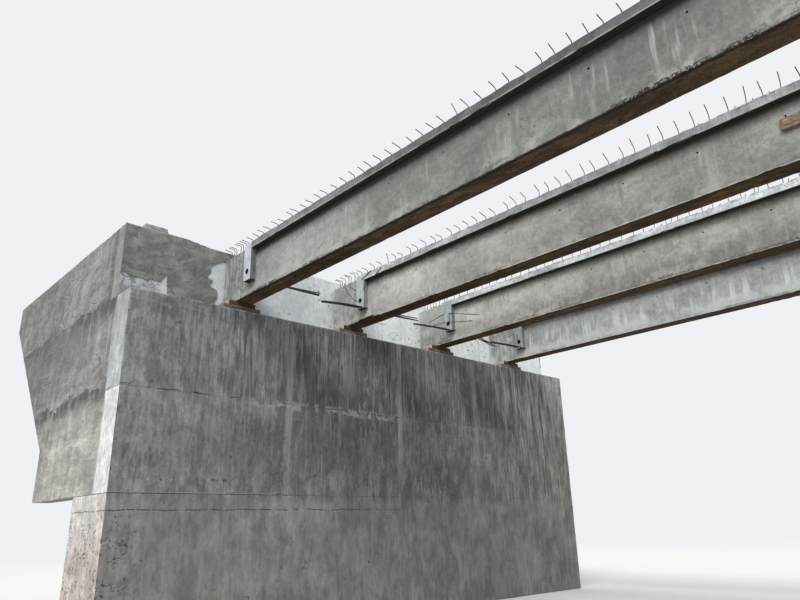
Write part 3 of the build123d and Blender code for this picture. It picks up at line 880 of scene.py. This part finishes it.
# Dark render on the backwall: its outline as distances from the wall's left corner and heights over the
# seat, its size, and the room under the wall's top
COAT_OUTLINE = [
    (0.0, 0.406), (0.18, 0.381), (0.4, 0.369), (0.66, 0.389), (0.75, 0.52), (0.78, 0.0), (1.66, 0.0),
    (1.63, 0.24), (1.67, 0.34), (1.65, 0.45), (1.51, 0.51), (1.58, 0.61), (1.49, 0.68), (1.54, 0.89),
    (1.76, 1.02), (2.1, 1.0), (2.1, 1.3), (0.0, 1.3),
]
COAT_LENGTH = 2.1
COAT_THICKNESS = 0.012
COAT_ROOT = 0.004
COAT_MARGIN = 0.012


def inside(u, v, outline):
    """Whether points lie inside an outline."""
    result = np.zeros(u.shape, bool)
    for (u1, v1), (u2, v2) in zip(outline, outline[1:] + outline[:1]):
        if v1 != v2:
            result ^= ((v1 > v) != (v2 > v)) & (u < u1 + (v - v1) * (u2 - u1) / (v2 - v1))
    return result


def coat(seed):
    """The render on the left corner of the backwall's front face."""
    xs = np.arange(-HALF_WIDTH, -HALF_WIDTH + COAT_LENGTH, COAT_STEP)
    ys = np.array([SEAT_BACK - COAT_THICKNESS, SEAT_BACK + COAT_ROOT])
    zs = np.arange(SEAT, CORNER_LEVEL - 0.005, COAT_STEP)

    def keep(x, y, z):
        where = np.column_stack([x.ravel(), y.ravel(), z.ravel()])
        shake = 0.03 * value_noise(where, 0.08, seed).reshape(x.shape)
        under_top = z < backwall_top(x) - COAT_MARGIN
        return inside(x + HALF_WIDTH + shake, z - SEAT + shake, COAT_OUTLINE) & under_top

    return worn((xs, ys, zs), seed, keep, wear=0.003, chip=0.004, ripple=0.001)


# Holes across each beam: place along, level, radius, and how near the beam's middle they reach
HOLES = [(way * STUB_MIDDLE, SLEEVE_LEVEL, SLEEVE_RADIUS, 0) for way in (-1, 1)]
HOLES += [(along, TIE_LEVEL, TIE_RADIUS, WEB_HALF - TIE_DEPTH) for along in TIE_PLACES]


def with_rings(grid, column):
    """Grid lines with five more through each hole, and none closer than 2 mm to the one before."""
    rings = [hole[column] + hole[2] * share for hole in HOLES for share in RING]
    grid = np.unique(np.round(np.concatenate([grid, rings]), 5))
    return grid[np.insert(np.diff(grid) > 0.002, 0, True)]


def round_holes(points):
    """Turn the square holes into round ones."""
    for along, level, radius, _ in HOLES:
        offset = points[:, 1:] - (along, level)
        square = np.abs(offset).max(axis=1)
        near = (square <= radius + 1e-4) & (square > 1e-6)
        ratio = square / np.maximum(np.linalg.norm(offset, axis=1), 1e-9)
        points[near, 1:] = (along, level) + offset[near] * ratio[near, None]
    return points


# Ragged lower edges: height and depth; then the broken one's ends, fade, least depth and further step;
# and how deep the flange's top edge has slumped
FOOT_HEIGHT = 0.05
RAG_DEPTH = 0.02
BREAK_ENDS = (STUB_OUTER - 0.55, BEAM_END - 0.06)
BREAK_FADE = 0.1
BREAK_DEPTH = 0.015
BREAK_STEP = 0.03
SLUMP_DEPTH = 0.016


def beam(middle, seed, broken):
    """A beam with its flange, stubs, sleeves and tie holes, and ragged lower edges."""
    inner = WEB_HALF - TIE_DEPTH
    xs = lines([-FLANGE_HALF, -WEB_HALF, -inner, inner, WEB_HALF, FLANGE_HALF], DEPTH_STEP)
    ys = lines([-BEAM_END, -STUB_OUTER, -STUB_INNER, STUB_INNER, STUB_OUTER, BEAM_END], BEAM_STEP)
    zs = lines([SOFFIT, STUB_BOTTOM, FLANGE_BOTTOM, BEAM_TOP], DEPTH_STEP, rim=(0.012, 0.03))

    def keep(x, y, z):
        flange = (z > FLANGE_BOTTOM) & (abs(y) < STUB_OUTER)
        stub = (abs(y) > STUB_INNER) & (abs(y) < STUB_OUTER) & (z > STUB_BOTTOM)
        solid = (abs(x) < WEB_HALF) | flange | stub
        for along, level, radius, reach in HOLES:
            solid &= ~((abs(y - along) < radius) & (abs(z - level) < radius) & (abs(x) >= reach))
        return solid

    def still(points):
        close = np.zeros(len(points), bool)
        for along, level, radius, _ in HOLES:
            close |= (abs(points[:, 1] - along) < 1.3 * radius) & (abs(points[:, 2] - level) < 1.3 * radius)
        return close

    grid = (xs, with_rings(ys, 0), with_rings(zs, 1))
    points, faces = worn(grid, seed, keep, wear=0.0035, chip=0.018, ripple=0.001, shape=round_holes,
                         still=still)
    x, y, z = points.T
    foot = np.clip((SOFFIT + FOOT_HEIGHT - z) / FOOT_HEIGHT, 0, 1)
    patchy = np.clip(2 * value_noise(points, 1.4, seed + 5), 0, 1)
    ragged = foot * patchy * np.clip(value_noise(points * (1, 1, 0.1), 0.06, seed + 6), 0, 1) * RAG_DEPTH
    if broken:
        start, end = BREAK_ENDS
        length = np.clip((y - start) / BREAK_FADE, 0, 1) * np.clip((end - y) / BREAK_FADE, 0, 1)
        steps = 0.5 + 0.5 * np.sign(value_noise(points * (0, 1, 0), 0.16, seed + 7))
        ragged += foot * length * (x < 0) * (BREAK_DEPTH + BREAK_STEP * steps)
    points[:, 2] += ragged
    slump = np.clip(value_noise(points, 0.22, seed + 8) + 0.6 * value_noise(points, 0.06, seed + 9), 0, 1)
    points[:, 2] -= SLUMP_DEPTH * slump * (z > BEAM_TOP - 0.02) * (abs(x) > WEB_HALF + 0.02)
    points[:, 0] += middle
    return points, faces


def stirrup(x, y, hand, rise, reach, angle, lean):
    """One leg: up out of the beam, then bent outwards."""
    foot = np.array([x + hand * STIRRUP_SHIFT, y, BEAM_TOP - LEG_ROOT])
    corner = np.array([foot[0] - hand * LEG_INSET, y + lean * rise, BEAM_TOP + rise])
    way = np.array([hand * math.cos(angle), lean, math.sin(angle)])
    down = (foot - corner) / np.linalg.norm(foot - corner)
    path = [foot, (foot + corner) / 2]
    for share in (0, 0.25, 0.5, 0.75, 1):
        path.append(corner + down * LEG_BEND * (1 - share) ** 2 + way * LEG_BEND * share**2)
    path += [corner + way * (LEG_BEND + reach) / 2, corner + way * reach]
    return bar(path, STIRRUP_RADIUS)


def stirrups(x, draw, steepest):
    """Both rows of legs on one beam, denser over its end blocks and steeper towards mid span."""
    count = int(STIRRUP_LAST / STIRRUP_PITCH)
    stations = [step * STIRRUP_PITCH for step in range(-count, count + 1)]
    stations += [way * along for way in (-1, 1) for along in STIRRUP_EXTRAS]
    parts = []
    for y in stations:
        for hand in (-1, 1):
            steep = np.clip((STEEP_START - abs(y)) / STEEP_LENGTH, 0, 1)
            angle = math.radians(draw.uniform(*LEG_RISING) + steep * draw.uniform(*steepest))
            if draw.random() < LEAST_BENT_SHARE:
                angle = math.radians(draw.uniform(*LEAST_BENT_ANGLE))
            rise = draw.uniform(*LEG_RISE)
            reach = draw.uniform(*LEG_REACH)
            spot = min(max(y + draw.uniform(-LEG_SPREAD, LEG_SPREAD), -STIRRUP_LAST), STIRRUP_LAST)
            parts.append(stirrup(x, spot, hand, rise, reach, angle, draw.uniform(-LEG_LEAN, LEG_LEAN)))
    return parts


# Cross bars of the near stubs: beam, hand, shift along the stub, level over the seat at the stub,
# reach beyond the stub, level at the far end, radius
CROSS_BARS = [
    (1, 1, -0.05, 0.4, 0.9, 0.398, 0.018), (1, 1, 0.05, 0.45, 0.995, 0.481, 0.01),
    (2, -1, -0.05, 0.375, 0.9, 0.3, 0.019), (2, -1, 0.03, 0.385, 0.865, 0.324, 0.016),
    (2, 1, -0.06, 0.37, 0.93, 0.385, 0.012), (2, 1, 0.0, 0.375, 0.967, 0.412, 0.012),
    (2, 1, 0.06, 0.44, 1.02, 0.481, 0.01), (3, -1, -0.03, 0.37, 1.04, 0.311, 0.017),
    (3, -1, 0.04, 0.385, 0.96, 0.335, 0.013), (3, 1, -0.07, 0.385, 0.95, 0.23, 0.012),
    (3, 1, 0.0, 0.385, 0.915, 0.25, 0.01), (3, 1, 0.06, 0.4, 0.85, 0.335, 0.009),
    (4, -1, -0.05, 0.375, 1.09, 0.327, 0.014), (4, -1, 0.05, 0.39, 0.986, 0.345, 0.01),
]

# Tie wires beside the near stubs: beam, then places along the bridge and levels over the seat
TIE_WIRES = [
    (2, [(7.535, 1.003), (7.5, 0.901), (7.412, 0.764), (7.276, 0.615), (7.142, 0.524)]),
    (2, [(7.379, 0.957), (7.31, 0.847), (7.209, 0.767), (7.159, 0.749)]),
    (2, [(6.418, 1.0), (6.591, 0.901), (6.751, 0.818), (6.95, 0.72)]),
    (2, [(6.716, 1.027), (6.862, 0.972), (7.0, 0.93)]),
    (3, [(7.165, 0.75), (7.401, 0.71), (7.642, 0.666)]),
    (3, [(7.136, 0.564), (7.326, 0.569), (7.492, 0.568)]),
    (3, [(7.017, 0.738), (6.733, 0.656), (6.36, 0.546), (6.155, 0.49)]),
    (3, [(6.96, 0.52), (6.771, 0.485), (6.593, 0.45), (6.37, 0.417)]),
    (3, [(7.004, 0.734), (7.01, 0.63), (7.004, 0.522)]),
    (4, [(7.336, 0.698), (7.196, 0.728), (7.158, 0.658)]),
    (4, [(7.078, 0.714), (7.082, 0.64), (7.078, 0.567)]),
]


def cross_bars(number, x):
    """One beam's bars, a little bent down by their own weight."""
    parts = []
    for beam_number, hand, shift, level, reach, end_level, radius in CROSS_BARS:
        if beam_number == number:
            path = [(x + hand * (FLANGE_HALF + share * reach), STUB_MIDDLE + shift,
                     SEAT + level - (level - end_level) * max(share, 0) ** 1.6)
                    for share in np.linspace(-0.04, 1, 9)]
            parts.append(bar(path, radius, 8))
    return at_both_ends(parts)


def tie_wires(number, x):
    """Thin wires round one beam's stubs, just off their outer faces."""
    paths = [[(x - FLANGE_HALF - OFF_FACE, y, SEAT + level) for y, level in points]
             for beam_number, points in TIE_WIRES if beam_number == number]
    return at_both_ends([bar(path, WIRE_RADIUS, 5) for path in paths])


def packing(low, high, seed):
    """Planks of one layer, each a little different."""
    half = (high.x - low.x - (BEAM_X[-1] - BEAM_X[0])) / 2
    parts = []
    for number, (x, look) in enumerate(zip(BEAM_X, BEAMS)):
        left, right = x - half + 0.02 * (number % 2), x + half - look["trim"]
        grid = block((left, low.y, low.z), (right, high.y, high.z), TIMBER_STEPS,
                     (TIMBER_RIM, TIMBER_RIM, (0.005, 0.015)))
        parts.append(worn(grid, seed + number, wear=0.002, chip=0.006, ripple=0.001))
    return parts


STIRRUP_FINISH = bar_finish("stirrup_steel", (0.1, 0.1, 0.1), (0.15, 0.1, 0.075))
BAR_FINISH = bar_finish("rusty_bar", (0.02, 0.015, 0.013), (0.045, 0.026, 0.019))
WALL_FINISH = wall_finish()
WING_FINISH = wing_finish()
BACKWALL_FINISH = backwall_finish()
COAT_FINISH = coat_finish()
PACKING_FINISHES = {
    "lower": timber_finish("packing_timber", (12, 1, 1), (0.2, 0.15, 0.11), "x", (0.3, 0.24, 0.17)),
    "upper": timber_finish("dark_packing_timber", (12, 1, 1), (0.1, 0.062, 0.038), "x", (0.5, 0.4, 0.26)),
}
BOARD_FINISH = timber_finish("board_timber", (1, 5, 1), (0.34, 0.24, 0.175), "y", (0.5, 0.42, 0.32))
BASE_GRID = block((-HALF_WIDTH, FRONT, 0), (HALF_WIDTH, BASE_BACK, BASE_TOP),
                  (WALL_STEP, BASE_DEPTH_STEP, WALL_STEP))
BACKWALL_GRID = block((-HALF_WIDTH, SEAT_BACK, SEAT), (HALF_WIDTH, WALL_BACK, CORNER_LEVEL),
                      (BACKWALL_STEP, DEPTH_STEP, BACKWALL_STEP))

for end, seed in (("near", 100), ("far", 200)):
    for piece, part, finish in (
        ("base_cast", worn(BASE_GRID, seed, still=tight_joint), WALL_FINISH),
        ("lower_lift_cast", lift(BASE_TOP, LIFT_TOP, seed + 10), WALL_FINISH),
        ("upper_lift_cast", lift(LIFT_TOP, SEAT, seed + 20), WALL_FINISH),
        ("backwall_cast", worn(BACKWALL_GRID, seed + 30, shape=backwall_shape), BACKWALL_FINISH),
        ("backwall_render", coat(seed + 40), COAT_FINISH),
        ("left_wing_cast", wing(-HALF_WIDTH, -WING_INNER, seed + 50), WING_FINISH),
        ("right_wing_cast", wing(WING_INNER, HALF_WIDTH, seed + 60), WING_FINISH),
    ):
        nodes = [f"{end}_{piece.removesuffix('_cast')}"] if piece.endswith("_cast") else []
        slot = "pale_concrete" if finish == BACKWALL_FINISH else "wall_concrete"
        part = mirrored(part) if end == "far" else part
        build(f"{end}_{piece}", [part], finish, slot, *nodes)
    for layer in ("lower", "upper"):
        node = f"{end}_{layer}_packing"
        low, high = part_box(node)
        build(f"{node}_planks", packing(low, high, seed + 70), PACKING_FINISHES[layer], "timber", node)

draw = np.random.default_rng(31)
for number, (x, look) in enumerate(zip(BEAM_X, BEAMS), start=1):
    cast = beam(x, 300 + 10 * number, number == 2)
    build(f"beam_{number}_cast", [cast], beam_finish(number, x, look), "beam_concrete", f"beam_{number}")
    legs = stirrups(x, draw, look["steepest"])
    build(f"stirrups_{number}_bent", legs, STIRRUP_FINISH, "rebar", f"stirrups_{number}")
    bars = cross_bars(number, x) + tie_wires(number, x)
    build(f"cross_bars_{number}_bent", bars, BAR_FINISH, "rebar", f"cross_bars_{number}")

board_low, board_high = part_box("formwork_board")
board_grid = block(board_low, board_high, BOARD_STEPS, ((0.005, 0.012), RIM, TIMBER_RIM))
board = worn(board_grid, 500, wear=0.002, chip=0.008)
build("formwork_board_plank", [board], BOARD_FINISH, "timber", "formwork_board")

lump_low, lump_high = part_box("loose_lump")


def lump_shape(points):
    """Narrower at the top than at the foot."""
    middle = np.array((lump_low + lump_high) / 2)[:2]
    narrow = 1 - 0.1 * (points[:, 2] - lump_low.z) / (lump_high.z - lump_low.z)
    points[:, :2] = middle + (points[:, :2] - middle) * narrow[:, None]
    return points


lump_grid = block(lump_low, lump_high, (LUMP_STEP,) * 3, ((0.008, 0.02),) * 3)
lump = worn(lump_grid, 520, wear=0.008, chip=0.03, ripple=0.005, shape=lump_shape)
build("loose_lump_broken", [lump], lump_finish(), "pale_concrete", "loose_lump")


# Floor, light and camera


def make_floor():
    """Plain floor that fades into the backdrop far out."""
    f = Finish("pale_floor", 0.9)
    seen = f.seen()
    f.tree.links.new(f.mix(seen, FLOOR_TONE, FLOOR_SEEN), f.shader.inputs["Base Color"])
    radius = f.add("ShaderNodeVectorMath", {0: f.place}, operation="LENGTH").outputs["Value"]
    glow = f.add("ShaderNodeEmission", {"Color": BACKDROP, "Strength": 1.0})
    f.surface(f.both(f.ease(radius, *FLOOR_FADE), seen), f.shader, glow)
    half = FLOOR_SIZE / 2
    mesh = bpy.data.meshes.new("floor")
    corners = [(-half, -half, 0), (half, -half, 0), (half, half, 0), (-half, half, 0)]
    mesh.from_pydata(corners, [], [(0, 1, 2, 3)])
    mesh.materials.append(f.material)
    floor = added("floor", mesh)


def make_light():
    """Soft sun, even sky, and a pale backdrop for the rays that are seen."""
    lamp = bpy.data.lights.new("soft_sun", "SUN")
    lamp.energy = SUN_STRENGTH
    lamp.angle = SUN_SOFTNESS
    sun = added("soft_sun", lamp)
    sun.rotation_euler = Vector(SUN_TOWARDS).to_track_quat("Z", "Y").to_euler()
    world = bpy.data.worlds.new("studio")
    world.use_nodes = True
    bpy.context.scene.world = world
    studio = Nodes(world.node_tree)
    sky = studio.tree.nodes["Background"]
    sky.inputs["Color"].default_value = (1.0, 1.0, 1.0, 1.0)
    sky.inputs["Strength"].default_value = SKY_STRENGTH
    backdrop = studio.add("ShaderNodeBackground", {"Color": BACKDROP, "Strength": 1.0})
    studio.surface(studio.seen(), sky, backdrop)


def make_camera():
    """The photograph's camera."""
    yaw, pitch, roll = CAMERA_YAW, CAMERA_PITCH, CAMERA_ROLL
    forward = Vector((math.sin(yaw) * math.cos(pitch), math.cos(yaw) * math.cos(pitch), math.sin(pitch)))
    right = Vector((math.cos(yaw), -math.sin(yaw), 0))
    up = right.cross(forward)
    across = math.cos(roll) * right + math.sin(roll) * up
    upward = math.cos(roll) * up - math.sin(roll) * right
    data = bpy.data.cameras.new("camera")
    data.lens = CAMERA_LENS
    data.sensor_width = CAMERA_SENSOR
    data.sensor_fit = "HORIZONTAL"
    data.clip_end = CAMERA_FAR
    camera = added("camera", data)
    turn = Matrix((across, upward, -forward)).transposed().to_4x4()
    camera.matrix_world = Matrix.Translation(CAMERA_PLACE) @ turn
    bpy.context.scene.camera = camera


make_floor()
make_light()
make_camera()
bpy.context.scene.view_settings.view_transform = "Standard"
